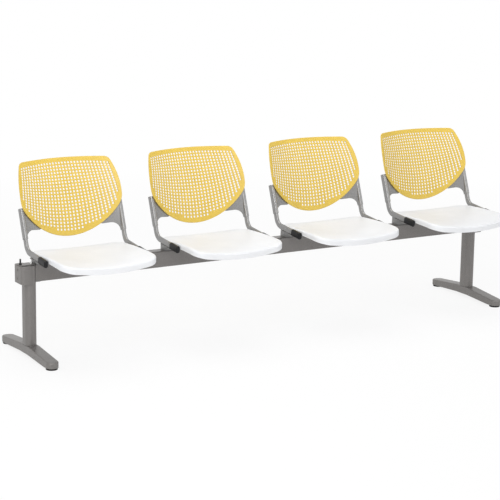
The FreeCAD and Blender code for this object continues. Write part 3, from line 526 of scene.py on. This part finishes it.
SIGNS = (-1, 1)
UP = (0, 0, 1)
DOWN = (0, 0, -1)
PLATE = 4.0
cover_top = BEAM_TOP + PLATE
make_fasteners("cover_bolts", "zinc_bolt", [
    (button_head(14), ((POST_AXIS - 10) * side, ROW_SHIFT, cover_top), UP) for side in SIGNS])
make_fasteners("cover_bolts", "dark_bolt", [
    (nut_and_stud(14, 24), ((POST_AXIS + 37.5) * side, ROW_SHIFT, cover_top), UP) for side in SIGNS])
make_fasteners("clamp_bolts", "beam_coat", [
    (socket_head(84), ((POST_AXIS + 44) * side, ROW_SHIFT, level), (side, 0, 0))
    for side in SIGNS for level in (342.0, 378.0)])
make_fasteners("foot_bolts", "dark_bolt", [
    (socket_head(45), (POST_AXIS * side, ROW_SHIFT + 17 * end, 17.0), DOWN) for side in SIGNS for end in SIGNS])
make_fasteners("bracket_bolts", "dark_bolt", [
    (hex_head(12), (chair_x(number) + 178 * side, ROW_SHIFT + 13 * end, cover_top), UP)
    for number in CHAIRS for side in SIGNS for end in SIGNS])

# Front end of the side tubes, and the slope of their front runs
SLOPE = 5.0
TUBE_STAND = 27.0
CORNER_DROP = 79.9
TUBE_REACH = 182.4
lean = math.radians(LEAN)
slope = math.radians(SLOPE)
front_y = BACK_PLACE - TUBE_STAND * math.cos(lean) - CORNER_DROP * math.sin(lean) - TUBE_REACH * math.cos(slope)
front_z = BACK_LEVEL + TUBE_STAND * math.sin(lean) - CORNER_DROP * math.cos(lean) - TUBE_REACH * math.sin(slope)
tube_matrix = (Matrix.Translation(Vector((0, ROW_SHIFT + front_y, front_z)) * MM)
               @ Matrix.Rotation(slope, 4, "X"))
make_fasteners("seat_screws", "dark_bolt", [
    (pan_head(11), (chair_x(number) + 110 * side, reach, -18.0), DOWN)
    for number in CHAIRS for side in SIGNS for reach in (69.0, 125.0)], tube_matrix)


def back_screw(x, level):
    """Place and facing of a screw head on the back of the gusset."""
    normal = back_normal(x, level)
    return on_back(x, level, 0) + normal * (RIM + 0.3 + 4.0), normal


back_matrix = (Matrix.Translation(Vector((0, ROW_SHIFT + BACK_PLACE, BACK_LEVEL)) * MM)
               @ Matrix.Rotation(-lean, 4, "X"))
screw_copies = []
for number in CHAIRS:
    for side in SIGNS:
        for x, level in ((150.0, 28.0), (190.0, 60.0)):
            spot, facing = back_screw(x * side, level)
            screw_copies.append((pan_head(10), spot + Vector((chair_x(number), 0, 0)), facing))
make_fasteners("back_screws", "dark_bolt", screw_copies, back_matrix)

GLIDE = [(23.4, 0, 0), (24.4, 0.3, 0), (25, 1.2, 0), (25, 4.2, 0), (24.4, 5.6, 0), (22.6, 6.8, 0), (18, 7.6, 0),
         (12, 8, 0), (9, 8, 0), (5, 8, 0), (5, 25, 0), (4.2, 26, 0)]
for label, side in (("left", -1), ("right", 1)):
    for end, sign in (("front", -1), ("rear", 1)):
        node = "glide_%s_%s" % (end, label)
        points, faces = turned(GLIDE, 64)
        place = Matrix.Translation(Vector((POST_AXIS * side, ROW_SHIFT + GLIDE_PLACE * sign, 0)) * MM)
        item = new_object(node + "_foot", points, faces, "glide_plastic", place)
        item.data.set_sharp_from_angle(angle=math.radians(40))
        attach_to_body(item, node + "_body")
        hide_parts(node)


# Floor, lights and camera
def seen_directly(nodes, links):
    """One for rays from the camera, off a glossy surface or through a clear one, else nothing."""
    path = nodes.new("ShaderNodeLightPath")
    glossy = nodes.new("ShaderNodeMath")
    glossy.operation = "MAXIMUM"
    links.new(path.outputs["Is Camera Ray"], glossy.inputs[0])
    links.new(path.outputs["Is Glossy Ray"], glossy.inputs[1])
    clear = nodes.new("ShaderNodeMath")
    clear.operation = "MAXIMUM"
    links.new(glossy.outputs[0], clear.inputs[0])
    links.new(path.outputs["Is Transmission Ray"], clear.inputs[1])
    return clear.outputs[0]


# Floor's half side in metres, its share of plain white near the bench, and where that grows to one
FLOOR_REACH = 14.0
NEAR_WHITE = 0.86
FADE = (1.6, 4.0)


def make_floor():
    mesh = bpy.data.meshes.new("floor")
    reach = FLOOR_REACH
    mesh.from_pydata([(-reach, -reach, 0), (reach, -reach, 0), (reach, reach, 0), (-reach, reach, 0)], [],
                     [(0, 1, 2, 3)])
    floor = bpy.data.objects.new("floor", mesh)
    bpy.context.scene.collection.objects.link(floor)
    material, nodes, links, shader = new_material("floor")
    place = nodes.new("ShaderNodeTexCoord")
    grain = noise(nodes, links, place, 40.0, 4.0)
    links.new(tone(nodes, links, grain, (0.89, 0.89, 0.89), (0.91, 0.91, 0.91)), shader.inputs["Base Color"])
    shader.inputs["Roughness"].default_value = 0.9
    white = nodes.new("ShaderNodeEmission")
    white.inputs["Color"].default_value = (1, 1, 1, 1)
    mix = nodes.new("ShaderNodeMixShader")
    far = nodes.new("ShaderNodeVectorMath")
    far.operation = "LENGTH"
    links.new(place.outputs["Object"], far.inputs[0])
    share = nodes.new("ShaderNodeMath")
    share.operation = "MULTIPLY"
    links.new(seen_directly(nodes, links), share.inputs[0])
    links.new(spread(nodes, links, far.outputs["Value"], NEAR_WHITE, 1.0, *FADE), share.inputs[1])
    links.new(share.outputs[0], mix.inputs[0])
    links.new(shader.outputs[0], mix.inputs[1])
    links.new(white.outputs[0], mix.inputs[2])
    links.new(mix.outputs[0], nodes["Material Output"].inputs["Surface"])
    mesh.materials.append(material)


def make_world():
    world = bpy.data.worlds.new("studio")
    bpy.context.scene.world = world
    world.use_nodes = True
    nodes, links = world.node_tree.nodes, world.node_tree.links
    soft = nodes["Background"]
    soft.inputs["Strength"].default_value = 1.0
    place = nodes.new("ShaderNodeTexCoord")
    towards = nodes.new("ShaderNodeVectorMath")
    towards.operation = "DOT_PRODUCT"
    towards.inputs[1].default_value = (-0.74, -0.52, 0.43)
    links.new(place.outputs["Generated"], towards.inputs[0])
    ramp = nodes.new("ShaderNodeValToRGB")
    ramp.color_ramp.elements[0].position = 0.12
    ramp.color_ramp.elements[0].color = (0.10, 0.10, 0.11, 1)
    ramp.color_ramp.elements[1].position = 0.95
    ramp.color_ramp.elements[1].color = (0.85, 0.85, 0.85, 1)
    half = nodes.new("ShaderNodeMath")
    half.operation = "MULTIPLY_ADD"
    half.inputs[1].default_value = 0.5
    half.inputs[2].default_value = 0.5
    links.new(towards.outputs["Value"], half.inputs[0])
    links.new(half.outputs[0], ramp.inputs["Fac"])
    links.new(ramp.outputs["Color"], soft.inputs["Color"])
    white = nodes.new("ShaderNodeBackground")
    white.inputs["Color"].default_value = (1, 1, 1, 1)
    white.inputs["Strength"].default_value = 1.0
    mix = nodes.new("ShaderNodeMixShader")
    links.new(seen_directly(nodes, links), mix.inputs[0])
    links.new(soft.outputs[0], mix.inputs[1])
    links.new(white.outputs[0], mix.inputs[2])
    links.new(mix.outputs[0], nodes["World Output"].inputs["Surface"])


def make_light(name, place, aim, size, power):
    light = bpy.data.lights.new(name, "AREA")
    light.shape = "DISK"
    light.size = size
    light.energy = power
    item = bpy.data.objects.new(name, light)
    bpy.context.scene.collection.objects.link(item)
    item.location = place
    item.rotation_euler = (Vector(aim) - Vector(place)).to_track_quat("-Z", "Y").to_euler()


# Camera solved from the photograph: focal length in millimetres, place in metres and two of its axes
CAMERA_LENS = 131.77
CAMERA_PLACE = (-4.10672, -6.83273, 2.15872)
CAMERA_RIGHT = (0.864291, -0.50278, 0.014914)
CAMERA_AHEAD = (0.49324, 0.841331, -0.221098)


def make_camera():
    camera = bpy.data.cameras.new("camera")
    camera.lens = CAMERA_LENS
    camera.sensor_width = 36.0
    camera.clip_end = 100.0
    item = bpy.data.objects.new("camera", camera)
    bpy.context.scene.collection.objects.link(item)
    right = Vector(CAMERA_RIGHT).normalized()
    ahead = Vector(CAMERA_AHEAD).normalized()
    upward = right.cross(ahead).normalized()
    right = ahead.cross(upward).normalized()
    turn = Matrix((right, upward, -ahead)).transposed().to_4x4()
    item.matrix_world = Matrix.Translation(CAMERA_PLACE) @ turn
    bpy.context.scene.camera = item


make_floor()
make_world()
make_light("key", (-2.9, -3.2, 3.2), (0.0, 0.0, 0.45), 2.2, 76.0)
make_light("fill", (3.2, -3.4, 2.2), (0.3, 0.0, 0.4), 2.2, 24.0)
make_light("top", (0.0, 0.4, 3.6), (0.0, 0.0, 0.5), 3.0, 48.0)
make_light("low", (-3.6, -2.6, 0.5), (-0.4, 0.0, 0.3), 0.8, 7.0)
make_camera()
bpy.context.scene.view_settings.view_transform = "Standard"
